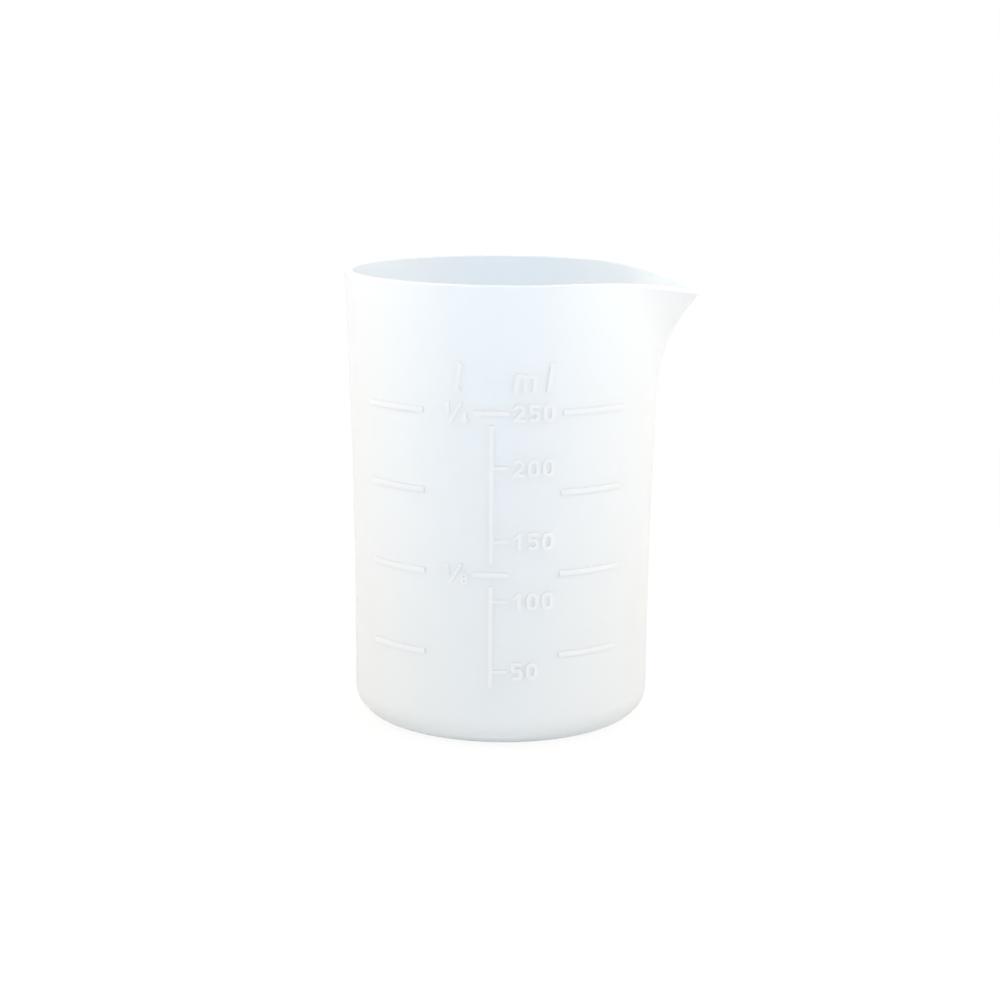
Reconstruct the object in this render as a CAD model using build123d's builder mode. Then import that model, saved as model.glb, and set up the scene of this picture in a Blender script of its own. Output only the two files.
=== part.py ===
from build123d import *
from math import acos, cos, degrees, pi, radians, sin, sqrt, tan
import os

# A resin mixing cup: a beaker moulded in one piece of translucent silicone, with a pouring spout
# and a raised scale. The origin is the centre of its base, +Z is up, the spout points to +X and
# the middle of the scale faces -Y. All sizes are in millimetres and all angles in degrees.

# Driving sizes of the cup
height = 104.0
base_radius = 34.5
rim_radius = 36.8
flare_start = 15.0
base_corner_radius = 6.1
wall_thickness = 1.8
floor_thickness = 2.5
inside_corner_radius = 4.3
rim_rounding = 0.6
rim_inner_rounding = 0.45

# Driving sizes of the spout. Its reach is how far its ridge stands out of the wall at the cup's
# full height, which the drooping rim then cuts a little short.
spout_height = 26.0
spout_reach = 14.1
spout_tip_radius = 2.8
rim_droop_start = 18.0
rim_droop_radius = 83.0

# The wall is turned low down, and drawn through this many evenly spaced plans above
round_plan_count = 8
spout_plan_count = 14

# Driving sizes of the raised scale
relief = 0.25
full_mark_height = 76.3
stem_width = 1.0
stem_gap = 2.6
stem_foot = 14.5
long_line_length = 8.0
long_line_width = 1.0
tick_length = 3.6
tick_width = 0.8
numeral_left = 4.5
numeral_height = 4.0
numeral_width = 2.75
numeral_pitch = 3.35
numeral_pen = 0.85
fraction_left = -10.8
fraction_width = 5.7
fraction_height = 4.6
fraction_digit_height = 2.6
fraction_digit_width = 1.7
fraction_pen = 0.6
unit_gap = 4.6
unit_ascender = 6.8
unit_body = 4.1
unit_pen = 1.0
unit_lean_angle = 9.0
litre_left = -7.9
millilitre_left = 5.0
letter_m_pitch = 2.05
letter_gap = 3.2
side_arc_start_angle = 25.5
side_arc_end_angle = 52.0
side_arc_width = 1.2

# Each tick: the numeral beside it, its share of the full mark's volume, and how far above the
# height that this share fills it is moulded, as a share of the numeral's height
tick_shares = [("200", 0.8, 0.52), ("150", 0.6, 0.05), ("100", 0.4, 0.35), ("50", 0.2, 0.07)]

# The side arcs stand at quarters of the full mark's volume
side_shares = [("250", 1.0), ("187", 0.75), ("125", 0.5), ("62", 0.25)]

# Every cut and every blank that is cut back runs past what it cuts by this much
overrun = 1.0

flare = rim_radius - base_radius
flare_rise = height - flare_start
flare_curvature = 2 * flare / (flare_rise**2 + flare**2)
spout_start = height - spout_height
spout_ridge_radius = (spout_height**2 + spout_reach**2) / (2 * spout_reach)
plan_pitch = (height + overrun - spout_start) / spout_plan_count
turned_height = spout_start - round_plan_count * plan_pitch

os.makedirs("parts", exist_ok=True)
nodes = []


def finish(builder, name):
    """Labels a finished piece, writes it and keeps it for the summary."""
    builder.part.label = name
    export_step(builder.part, f"parts/{name}.step")
    nodes.append(builder.part)


# The wall's form


def wall_radius(level):
    """Outside radius of the round wall: upright low down, then one arc that flares to the rim."""
    rise = max(0, level - flare_start)
    return base_radius + flare_curvature * rise**2 / (1 + sqrt(1 - (flare_curvature * rise) ** 2))


def turned_profile(inset, bottom, corner, top):
    """Half section of the wall's form, offset inwards by inset, from a rounded foot to a level top."""
    foot = base_radius - inset
    brim = wall_radius(top) - inset
    with BuildSketch(Plane.XZ) as profile:
        with BuildLine():
            Line((0, bottom), (foot - corner, bottom))
            RadiusArc((foot - corner, bottom), (foot, bottom + corner), -corner)
            Line((foot, bottom + corner), (foot, flare_start))
            TangentArc((foot, flare_start), (brim, top), tangent=(0, 1))
            Polyline((brim, top), (0, top), (0, bottom))
        make_face()
    return profile.sketch


def ridge_reach(level):
    """How far the spout's ridge stands out of the round wall, along an arc that leaves it tangent."""
    rise = level - spout_start
    return spout_ridge_radius - sqrt(spout_ridge_radius**2 - rise**2)


def flank_turn(level):
    """Angle from the spout's axis to the point where its flank leaves the round wall."""
    tip_center = wall_radius(level) + ridge_reach(level) - spout_tip_radius
    return degrees(acos((wall_radius(level) - spout_tip_radius) / tip_center))


def plan_section(level, inset):
    """Plan of the wall: the round wall, the rounded tip, and two flanks that touch both.

    Below the spout all four stretches lie on one circle, which a line builder would merge into
    one edge, so each plan is strung together from single edges.
    """
    center = (0, 0, level)
    wall = wall_radius(level) - inset
    if level > spout_start + plan_pitch / 2:
        tip = spout_tip_radius - inset
        tip_center = wall_radius(level) + ridge_reach(level) - spout_tip_radius
        turn = flank_turn(level)
        reach = tip_center + tip * cos(radians(turn))
        edges = [CenterArc(center, wall, turn, 360 - 2 * turn)]
        edges.append(CenterArc((tip_center, 0, level), tip, -turn, 2 * turn))
        for side in (1, -1):
            wall_end = (wall * cos(radians(turn)), side * wall * sin(radians(turn)), level)
            edges.append(Line(wall_end, (reach, side * tip * sin(radians(turn)), level)))
    else:
        turn = flank_turn(spout_start + plan_pitch) / 2
        tip_turn = turn * spout_tip_radius / base_radius
        edges = [CenterArc(center, wall, turn, 360 - 2 * turn)]
        edges.append(CenterArc(center, wall, -tip_turn, 2 * tip_turn))
        for start in (tip_turn, -turn):
            edges.append(CenterArc(center, wall, start, turn - tip_turn))
    return Face(Wire(edges))


plan_count = round_plan_count + spout_plan_count + 1
section_levels = [turned_height + step * plan_pitch for step in range(plan_count)]

outer_profile = turned_profile(0, 0, base_corner_radius, turned_height)
outer_plans = [plan_section(level, 0) for level in section_levels]
cavity_profile = turned_profile(wall_thickness, floor_thickness, inside_corner_radius, turned_height)
cavity_plans = [plan_section(level, wall_thickness) for level in section_levels]
past_tip = wall_radius(section_levels[-1]) + ridge_reach(section_levels[-1]) + overrun
droop_depth = rim_droop_radius - sqrt(rim_droop_radius**2 - (past_tip - rim_droop_start) ** 2)


def rim_edges():
    """The edges that the last cut left along the rim: curved, and wholly above the spout's start."""
    curved = edges(Select.LAST).filter_by(GeomType.LINE, reverse=True)
    return curved.filter_by(lambda edge: min(corner.Z for corner in edge.vertices()) > spout_start)


with BuildPart() as cup_body:
    revolve(outer_profile, axis=Axis.Z)
    loft(outer_plans)

    # The rim is level round the cup and droops along an arc towards the spout's tip
    with BuildSketch(Plane.XZ):
        with BuildLine():
            Line((-past_tip, height), (rim_droop_start, height))
            TangentArc((rim_droop_start, height), (past_tip, height - droop_depth), tangent=(1, 0))
            Line((past_tip, height - droop_depth), (past_tip, height + 2 * overrun))
            Line((past_tip, height + 2 * overrun), (-past_tip, height + 2 * overrun))
            Line((-past_tip, height + 2 * overrun), (-past_tip, height))
        make_face()
    extrude(amount=past_tip, both=True, mode=Mode.SUBTRACT)
    fillet(rim_edges(), rim_rounding)

    revolve(cavity_profile, axis=Axis.Z, mode=Mode.SUBTRACT)
    loft(cavity_plans, mode=Mode.SUBTRACT)
    fillet(rim_edges(), rim_inner_rounding)
finish(cup_body, "cup_body")

# The raised scale
#
# Each mark is drawn flat on a plane through the cup's axis that faces straight out of the wall. It
# is pushed out through the wall, cut back to the jacket, a shell from the middle of the wall to one
# relief outside it, and then to the cup itself. So its back is the wall's own surface and it stands
# equally proud all over.

scale_top = full_mark_height + unit_gap + unit_ascender + overrun
jacket_core = base_radius - wall_thickness / 2
jacket_skin = base_radius + relief
jacket_brim = wall_radius(scale_top) - base_radius
past_wall = max(base_radius, wall_radius(scale_top)) + relief + overrun

with BuildPart() as jacket:
    with BuildSketch(Plane.XZ):
        with BuildLine():
            Line((jacket_skin, base_corner_radius), (jacket_skin, flare_start))
            TangentArc((jacket_skin, flare_start), (jacket_skin + jacket_brim, scale_top), tangent=(0, 1))
            Line((jacket_skin + jacket_brim, scale_top), (jacket_core + jacket_brim, scale_top))
            TangentArc((jacket_core, flare_start), (jacket_core + jacket_brim, scale_top), tangent=(0, 1))
            Line((jacket_core, flare_start), (jacket_core, base_corner_radius))
            Line((jacket_core, base_corner_radius), (jacket_skin, base_corner_radius))
        make_face()
    revolve(axis=Axis.Z)


def held_volume(level):
    """Volume inside the round wall from the floor up to a level, by slices of equal height."""
    slice_count = 200
    depth = (level - floor_thickness) / slice_count
    total = 0
    for step in range(slice_count):
        rise = (step + 0.5) * depth
        corner = max(0, inside_corner_radius - rise)
        drawn_in = inside_corner_radius - sqrt(inside_corner_radius**2 - corner**2)
        radius = wall_radius(floor_thickness + rise) - wall_thickness - drawn_in
        total += pi * radius**2 * depth
    return total


def level_at(volume_share):
    """The height at which the cup holds this share of what it holds at the full mark."""
    low, high = floor_thickness, full_mark_height
    wanted = volume_share * held_volume(full_mark_height)
    while high - low > relief / 1000:
        middle = (low + high) / 2
        if held_volume(middle) < wanted:
            low = middle
        else:
            high = middle
    return high


def mark_plane(across, level):
    """Plane through the cup's axis that faces straight out of the wall, at a height and a turn.

    The turn is given as a distance along the wall's outside from the middle of the scale,
    positive to the right.
    """
    turn = across / wall_radius(level)
    rightwards = (cos(turn), sin(turn), 0)
    outwards = (sin(turn), -cos(turn), 0)
    return Plane((0, 0, level), x_dir=rightwards, z_dir=outwards)


def raise_mark(name, drawings):
    """Makes one node of raised silicone from flat drawings, each a sketch on its own mark plane."""
    with BuildPart() as mark:
        for drawing in drawings:
            extrude(drawing, amount=past_wall)
        add(jacket.part, mode=Mode.INTERSECT)
        add(cup_body.part, mode=Mode.SUBTRACT)
    finish(mark, name)


def draw_bar(across, level, length, width, rounded):
    """A level bar centred on a mark plane, with round or square ends."""
    with BuildSketch(mark_plane(across, level)) as bar:
        if rounded:
            SlotOverall(length, width)
        else:
            Rectangle(length, width)
    return bar.sketch


# The digits' shapes: the flag of a one, the stem of a four and the neck of a five as shares of the
# pen, the rest as shares of the digit's width, height or bowl
one_stem_share = 0.62
flag_reach_share = 1.6
flag_drop_share = 1.7
flag_pen_share = 0.8
four_stem_share = 1.3
four_bar_share = 0.25
five_inset_share = 0.08
five_neck_share = 0.9
five_drop_share = 1.5
two_start_angle = 170
two_end_angle = -35
five_start_angle = 140
five_end_angle = -150


def draw_digit(digit, plane, wide, tall, pen):
    """One upright digit, drawn with an even pen, its lower left corner at the plane's origin."""
    half = pen / 2
    bowl = (wide - pen) / 2
    with BuildSketch(plane) as drawing:
        if digit == "0":
            with Locations((wide / 2, tall / 2)):
                SlotOverall(tall, wide, rotation=90)
                SlotOverall(tall - 2 * pen, wide - 2 * pen, rotation=90, mode=Mode.SUBTRACT)
        elif digit == "1":
            stem = one_stem_share * wide
            with Locations((stem, tall / 2)):
                Rectangle(pen, tall)
            with BuildLine():
                flag_end = (stem - flag_reach_share * pen, tall - flag_drop_share * pen)
                Line((stem, tall - half), flag_end)
            trace(line_width=flag_pen_share * pen)
        elif digit == "2":
            with BuildLine():
                center = (wide / 2, tall - half - bowl)
                arc = CenterArc(center, bowl, two_start_angle, two_end_angle - two_start_angle)
                Line(arc @ 1, (half, half))
            trace(line_width=pen)
            Rectangle(wide, pen, align=Align.MIN)
        elif digit == "5":
            with BuildLine():
                center = (wide / 2, half + bowl)
                CenterArc(center, bowl, five_start_angle, five_end_angle - five_start_angle)
            trace(line_width=pen)
            with Locations((five_inset_share * wide, tall)):
                hung = (Align.MIN, Align.MAX)
                Rectangle(wide - 2 * five_inset_share * wide, pen, align=hung)
                Rectangle(five_neck_share * pen, tall - half - five_drop_share * bowl, align=hung)
        elif digit == "4":
            stem = wide - four_stem_share * pen
            bar = four_bar_share * tall
            with BuildLine():
                Line((half, bar), (stem, tall - half))
            trace(line_width=pen)
            with Locations((stem, tall / 2)):
                Rectangle(pen, tall)
            with Locations((0, bar)):
                Rectangle(wide, pen, align=(Align.MIN, Align.CENTER))
        elif digit == "8":
            ring = (tall + pen) / 2
            for middle in (ring / 2, tall - ring / 2):
                with Locations((wide / 2, middle)):
                    Ellipse(wide / 2, ring / 2)
            for middle in (ring / 2, tall - ring / 2):
                with Locations((wide / 2, middle)):
                    Ellipse(wide / 2 - pen, ring / 2 - pen, mode=Mode.SUBTRACT)
    return drawing.sketch


def draw_numeral(digits, level):
    """A row of digits, level with a mark's middle, each turned to face straight out of the wall."""
    drawings = []
    for place, digit in enumerate(digits):
        plane = mark_plane(numeral_left + place * numeral_pitch + numeral_width / 2, level)
        corner = plane.location * Location((-numeral_width / 2, -numeral_height / 2, 0))
        drawings.append(draw_digit(digit, Plane(corner), numeral_width, numeral_height, numeral_pen))
    return drawings


def draw_fraction(denominator, level):
    """A one over a denominator, set on the slant on both sides of a leaning bar."""
    plane = mark_plane(fraction_left + fraction_width / 2, level)
    side = fraction_width / 2
    lift = fraction_height / 2
    digit_size = (fraction_digit_width, fraction_digit_height, fraction_pen)
    upper = plane.location * Location((-side, lift - fraction_digit_height, 0))
    lower = plane.location * Location((side - fraction_digit_width, -lift, 0))
    with BuildSketch(plane) as slash:
        with BuildLine():
            Line((-side / 2, -lift), (side / 2, lift))
        trace(line_width=fraction_pen)
    over = draw_digit("1", Plane(upper), *digit_size)
    under = draw_digit(denominator, Plane(lower), *digit_size)
    return [over, slash.sketch, under]


def lean(across, up):
    """Moves a point sideways with its height, so that upright letters lean over."""
    return (across + up * tan(radians(unit_lean_angle)), up)


def draw_letter_l(left, level):
    """A leaning letter l with a small foot and a small flag."""
    plane = mark_plane(left, level)
    top = unit_ascender - unit_pen / 2
    with BuildSketch(plane) as drawing:
        with BuildLine():
            Polyline(lean(0, 0), lean(0, top))
        trace(line_width=unit_pen)
        with BuildLine():
            Line(lean(0, top), lean(-unit_pen, top - unit_pen / 4))
            Line(lean(0, unit_pen / 3), lean(unit_pen, unit_pen / 2))
        trace(line_width=unit_pen / 2)
    return drawing.sketch


def draw_letter_m(left, level):
    """A leaning letter m: three legs under two arches, with a small flag."""
    plane = mark_plane(left + letter_m_pitch, level)
    spring = unit_body - letter_m_pitch / 2 - unit_pen / 2
    crown = unit_body - unit_pen / 2
    with BuildSketch(plane) as drawing:
        for foot in (-letter_m_pitch, 0):
            arch_end = foot + letter_m_pitch
            arch_top = foot + letter_m_pitch / 2
            with BuildLine():
                ThreePointArc(lean(foot, spring), lean(arch_top, crown), lean(arch_end, spring))
                Line(lean(arch_end, spring), lean(arch_end, 0))
            trace(line_width=unit_pen)
        with BuildLine():
            Line(lean(-letter_m_pitch, 0), lean(-letter_m_pitch, unit_body))
        trace(line_width=unit_pen)
        with BuildLine():
            Line(lean(-letter_m_pitch, crown), lean(-letter_m_pitch - unit_pen, crown - unit_pen / 4))
        trace(line_width=unit_pen / 2)
    return drawing.sketch


half_level = level_at(0.5)
unit_level = full_mark_height + unit_gap

# The two long lines, with the fraction of a litre on their left
for name, denominator, level in (("quarter", "4", full_mark_height), ("eighth", "8", half_level)):
    raise_mark(f"line_{name}_litre", [draw_bar(0, level, long_line_length, long_line_width, True)])
    raise_mark(f"fraction_{name}", draw_fraction(denominator, level))
raise_mark("numeral_250", draw_numeral("250", full_mark_height))

# The units over the two columns
raise_mark("unit_litre", [draw_letter_l(litre_left, unit_level)])
letter_m = draw_letter_m(millilitre_left, unit_level)
letter_l = draw_letter_l(millilitre_left + 2 * letter_m_pitch + letter_gap, unit_level)
raise_mark("unit_millilitre", [letter_m, letter_l])

# The stem, in two lengths that stop short of the long lines
stem_spans = {
    "upper": (half_level + stem_gap, full_mark_height - stem_gap),
    "lower": (stem_foot, half_level - stem_gap),
}
for name, (low, high) in stem_spans.items():
    with BuildSketch(mark_plane(0, (low + high) / 2)) as stem:
        Rectangle(stem_width, high - low)
    raise_mark(f"stem_{name}", [stem.sketch])

# The ticks run from the stem's side towards their numerals
for digits, volume_share, lift_share in tick_shares:
    level = level_at(volume_share) + lift_share * numeral_height
    with BuildSketch(mark_plane(0, level)) as tick:
        with Locations((stem_width / 2, 0)):
            Rectangle(tick_length - stem_width / 2, tick_width, align=(Align.MIN, Align.CENTER))
    raise_mark(f"tick_{digits}", [tick.sketch])
    raise_mark(f"numeral_{digits}", draw_numeral(digits, level))

# The long level lines round the wall on both sides of the scale
side_arc_starts = {"left": -90 - side_arc_end_angle, "right": -90 + side_arc_start_angle}
for digits, volume_share in side_shares:
    level = level_at(volume_share)
    for side, start in side_arc_starts.items():
        with BuildPart() as arc:
            with BuildSketch(Plane.XZ.rotated((0, 0, start))):
                with Locations((wall_radius(level), level)):
                    Rectangle(wall_thickness, side_arc_width)
            revolve(axis=Axis.Z, revolution_arc=side_arc_end_angle - side_arc_start_angle)
            add(jacket.part, mode=Mode.INTERSECT)
            add(cup_body.part, mode=Mode.SUBTRACT)
        finish(arc, f"arc_{side}_{digits}")

print(f"holds {held_volume(full_mark_height) / 1000:.0f} ml at the full mark, {len(nodes)} nodes")
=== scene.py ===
from math import cos, radians, sin

import bpy
from mathutils import Matrix, Vector


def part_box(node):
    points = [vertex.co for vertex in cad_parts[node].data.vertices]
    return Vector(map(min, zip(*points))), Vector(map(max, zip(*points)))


MM = 0.001

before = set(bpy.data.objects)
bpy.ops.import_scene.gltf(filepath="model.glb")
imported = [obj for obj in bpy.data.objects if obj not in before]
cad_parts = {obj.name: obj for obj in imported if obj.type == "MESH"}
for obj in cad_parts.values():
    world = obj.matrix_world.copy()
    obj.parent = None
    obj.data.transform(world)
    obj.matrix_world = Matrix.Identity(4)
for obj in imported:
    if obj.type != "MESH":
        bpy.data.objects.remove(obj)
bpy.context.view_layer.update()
bpy.ops.object.select_all(action="DESELECT")
scene = bpy.context.scene
cup_low, cup_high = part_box("cup_body")
cup_middle = (0, 0, (cup_high.z - cup_low.z) / 2)


def linear(hex_colour):
    """An sRGB hex colour as linear red, green, blue and alpha."""
    shares = [int(hex_colour[i : i + 2], 16) / 255 for i in (1, 3, 5)]
    return [c / 12.92 if c <= 0.04045 else ((c + 0.055) / 1.055) ** 2.4 for c in shares] + [1]


def add_node(tree, kind, inputs=None, **settings):
    """Adds a node, with its settings, and sets or links the inputs that are named."""
    node = tree.nodes.new(kind)
    for name, value in settings.items():
        setattr(node, name, value)
    for name, value in (inputs or {}).items():
        if isinstance(value, bpy.types.NodeSocket):
            tree.links.new(value, node.inputs[name])
        else:
            node.inputs[name].default_value = value
    return node


def new_material(name):
    """An empty node material and its tree."""
    material = bpy.data.materials.new(name)
    material.use_nodes = True
    material.node_tree.nodes.clear()
    return material, material.node_tree


def feature_scale(size):
    """The scale at which a noise texture on Object coordinates has features of this size."""
    return 1 / size


# Platinum-cured silicone rubber, cast in a fine-blasted steel mould. It passes light and scatters
# it inside, so it looks milky, with a satin skin that blurs every reflection. The wall has a cool
# colour. The foot is painted a warmer, greyer and darker colour, as painted shade for the shade that
# falls low on the cup near the floor, with a soft, cloudy change between them.
silicone_ior = 1.41
foot_level = 8 * MM
wall_level = 72 * MM
cloud_size = 24 * MM
cloud_drift = 16 * MM

# The satin skin is a little glossier in some places than in others
satin_size = 5 * MM
satin_roughness = 0.45
satin_spread = 0.04
satin_noise_low = 0.3
satin_noise_high = 0.7

# The print of the blasted mould is finer than 0.1 mm, and is drawn at 0.35 mm so that it shows
blast_size = 0.35 * MM
blast_depth = 0.02 * MM
blast_strength = 0.5


def silicone_rubber(name, wall_hex, foot_shade_hex, transmission):
    """Milky silicone with its wall colour, a darker, greyer foot colour that is painted shade low on
    the cup, and its clearness.
    """
    material, tree = new_material(name)
    place = add_node(tree, "ShaderNodeTexCoord").outputs["Object"]
    level = add_node(tree, "ShaderNodeSeparateXYZ", {"Vector": place}).outputs["Z"]
    clouds = add_node(
        tree,
        "ShaderNodeTexNoise",
        {"Vector": place, "Scale": feature_scale(cloud_size), "Detail": 3.0, "Roughness": 0.55},
    )
    drift = add_node(
        tree,
        "ShaderNodeMath",
        {0: clouds.outputs["Fac"], 1: cloud_drift, 2: level},
        operation="MULTIPLY_ADD",
    )
    # Painted shade: from foot_level up to wall_level the colour turns from the darker, greyer foot
    # colour to the wall colour, so the cup is darker towards the bottom
    painted_shade_fade = add_node(
        tree,
        "ShaderNodeMapRange",
        {"Value": drift.outputs[0], "From Min": foot_level, "From Max": wall_level},
        interpolation_type="SMOOTHSTEP",
    )
    milk = add_node(
        tree,
        "ShaderNodeMix",
        {0: painted_shade_fade.outputs["Result"], 6: linear(foot_shade_hex), 7: linear(wall_hex)},
        data_type="RGBA",
    )
    satin = add_node(
        tree,
        "ShaderNodeTexNoise",
        {"Vector": place, "Scale": feature_scale(satin_size), "Detail": 4.0, "Roughness": 0.6},
    )
    gloss = add_node(
        tree,
        "ShaderNodeMapRange",
        {
            "Value": satin.outputs["Fac"],
            "From Min": satin_noise_low,
            "From Max": satin_noise_high,
            "To Min": satin_roughness - satin_spread,
            "To Max": satin_roughness + satin_spread,
        },
    )
    blast = add_node(
        tree,
        "ShaderNodeTexNoise",
        {"Vector": place, "Scale": feature_scale(blast_size), "Detail": 2.0, "Roughness": 0.5},
    )
    bump = add_node(
        tree,
        "ShaderNodeBump",
        {"Height": blast.outputs["Fac"], "Distance": blast_depth, "Strength": blast_strength},
    )
    shader = add_node(
        tree,
        "ShaderNodeBsdfPrincipled",
        {
            "Base Color": milk.outputs[2],
            "Roughness": gloss.outputs["Result"],
            "Normal": bump.outputs["Normal"],
            "IOR": silicone_ior,
            "Transmission Weight": transmission,
        },
    )
    output = add_node(tree, "ShaderNodeOutputMaterial")
    tree.links.new(shader.outputs["BSDF"], output.inputs["Surface"])
    return material


# The wall; the raised marks, whose colour is painted lighter than the wall's as painted light, for the
# light they catch; and the long side lines, whose painted light is a little fainter, as the light on
# them is fainter at the sides
# The second colour of each material is its foot colour, which is darker and greyer as painted shade
# low on the cup
cup_silicone = silicone_rubber("silicone_translucent", "#E6EFF6", "#E4ECF1", 0.3)
mark_silicone = silicone_rubber("silicone_raised", "#EFF5FA", "#EDF2F7", 0.31)
arc_painted_light_silicone = silicone_rubber("silicone_raised_fainter_painted_light", "#ECF4FB", "#ECF2F8", 0.31)
for name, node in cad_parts.items():
    rubber = arc_painted_light_silicone if name.startswith("arc_") else mark_silicone
    node.data.materials.clear()
    node.data.materials.append(cup_silicone if name == "cup_body" else rubber)


# The studio: white paper that keeps the cup's shadow and runs into a white backdrop further out
white = (1, 1, 1, 1)
seen_white = 1.0
floor_width = 6
paper_hex = "#F2F2F2"
near_glow_share = 0.9
paper_reach = 120 * MM
backdrop_reach = 400 * MM
studio_level = 0.33


def seen_ray(tree):
    """One for a ray that shows the background: straight to the camera, mirrored or through the cup."""
    ray = add_node(tree, "ShaderNodeLightPath")
    found = ray.outputs["Is Camera Ray"]
    for name in ("Is Glossy Ray", "Is Transmission Ray"):
        found = add_node(
            tree, "ShaderNodeMath", {0: found, 1: ray.outputs[name]}, operation="MAXIMUM"
        ).outputs[0]
    return found


def build_floor():
    bpy.ops.mesh.primitive_plane_add(size=floor_width, location=(0, 0, cup_low.z))
    floor = bpy.context.object
    floor.name = "studio_floor"
    material, tree = new_material("floor_white")
    paper = add_node(tree, "ShaderNodeBsdfDiffuse", {"Color": linear(paper_hex)})
    glow = add_node(tree, "ShaderNodeEmission", {"Color": white, "Strength": seen_white})
    place = add_node(tree, "ShaderNodeTexCoord").outputs["Object"]
    reach = add_node(tree, "ShaderNodeVectorMath", {0: place}, operation="LENGTH")
    glow_share = add_node(
        tree,
        "ShaderNodeMapRange",
        {
            "Value": reach.outputs["Value"],
            "From Min": paper_reach,
            "From Max": backdrop_reach,
            "To Min": near_glow_share,
            "To Max": 1.0,
        },
        interpolation_type="SMOOTHSTEP",
    )
    share = add_node(
        tree,
        "ShaderNodeMath",
        {0: seen_ray(tree), 1: glow_share.outputs["Result"]},
        operation="MULTIPLY",
    )
    both = add_node(tree, "ShaderNodeMixShader", {0: share.outputs[0]})
    tree.links.new(paper.outputs[0], both.inputs[1])
    tree.links.new(glow.outputs[0], both.inputs[2])
    output = add_node(tree, "ShaderNodeOutputMaterial")
    tree.links.new(both.outputs[0], output.inputs["Surface"])
    floor.data.materials.append(material)


def light_world():
    world = bpy.data.worlds.new("studio_white")
    scene.world = world
    world.use_nodes = True
    tree = world.node_tree
    tree.nodes.clear()
    strength = add_node(
        tree,
        "ShaderNodeMapRange",
        {"Value": seen_ray(tree), "To Min": studio_level, "To Max": seen_white},
    )
    light = add_node(
        tree, "ShaderNodeBackground", {"Color": white, "Strength": strength.outputs[0]}
    )
    output = add_node(tree, "ShaderNodeOutputWorld")
    tree.links.new(light.outputs[0], output.inputs["Surface"])


# Softboxes, turned to the cup's middle: place, width and height in metres, watts and colour
softboxes = {
    "softbox_left": ((-0.55, -0.05, 0.25), 0.5, 0.7, 1.3, "#FFDAAE"),
    "softbox_right": ((0.55, -0.05, 0.25), 0.5, 0.7, 1.42, "#FFE0BE"),
    "softbox_left_high": ((-0.5, -0.05, 0.5), 0.4, 0.4, 1.82, "#FFF1E4"),
    "softbox_right_high": ((0.5, -0.05, 0.5), 0.4, 0.4, 1.5, "#FFEFE0"),
    "softbox_left_back": ((-0.5, 0.4, 0.35), 0.5, 0.6, 0.95, "#FFFFF2"),
    "softbox_right_back": ((0.5, 0.4, 0.35), 0.5, 0.6, 1.5, "#FFFFFA"),
    "softbox_front": ((0, -0.8, 0.5), 0.8, 0.5, 4.6, "#F6FAFF"),
    "softbox_back": ((0, 0.8, 0.5), 0.8, 0.5, 2.9, "#FFFFFF"),
}


def add_softbox(name, place, width, tall, watts, hex_colour):
    data = bpy.data.lights.new(name, "AREA")
    data.shape = "RECTANGLE"
    data.size = width
    data.size_y = tall
    data.energy = watts
    data.color = linear(hex_colour)[:3]
    lamp = bpy.data.objects.new(name, data)
    scene.collection.objects.link(lamp)
    lamp.location = place
    towards_cup = Vector(cup_middle) - Vector(place)
    lamp.rotation_euler = towards_cup.to_track_quat("-Z", "Y").to_euler()


# The photograph's camera, from its fit to the rim, the base and the scale
view_azimuth = radians(4.0)
view_elevation = radians(11.79)
view_roll = radians(0.5)
view_distance = 504.6 * MM
view_lens_mm = 77.38
view_sensor_mm = 36.0
aim_height = 49.82 * MM
aim_shift = -0.57 * MM


def place_camera():
    right = Vector((cos(view_azimuth), sin(view_azimuth), 0))
    back = Vector(
        (
            sin(view_azimuth) * cos(view_elevation),
            -cos(view_azimuth) * cos(view_elevation),
            sin(view_elevation),
        )
    )
    up = back.cross(right)
    rolled_right = right * cos(view_roll) + up * sin(view_roll)
    rolled_up = up * cos(view_roll) - right * sin(view_roll)
    turn = Matrix((rolled_right, rolled_up, back)).transposed().to_4x4()
    target = right * aim_shift + Vector((0, 0, aim_height))
    data = bpy.data.cameras.new("photo_camera")
    data.lens = view_lens_mm
    data.sensor_width = view_sensor_mm
    camera = bpy.data.objects.new("photo_camera", data)
    scene.collection.objects.link(camera)
    camera.matrix_world = Matrix.Translation(target + back * view_distance) @ turn
    scene.camera = camera


build_floor()
light_world()
for name, settings in softboxes.items():
    add_softbox(name, *settings)
place_camera()
scene.view_settings.view_transform = "Standard"
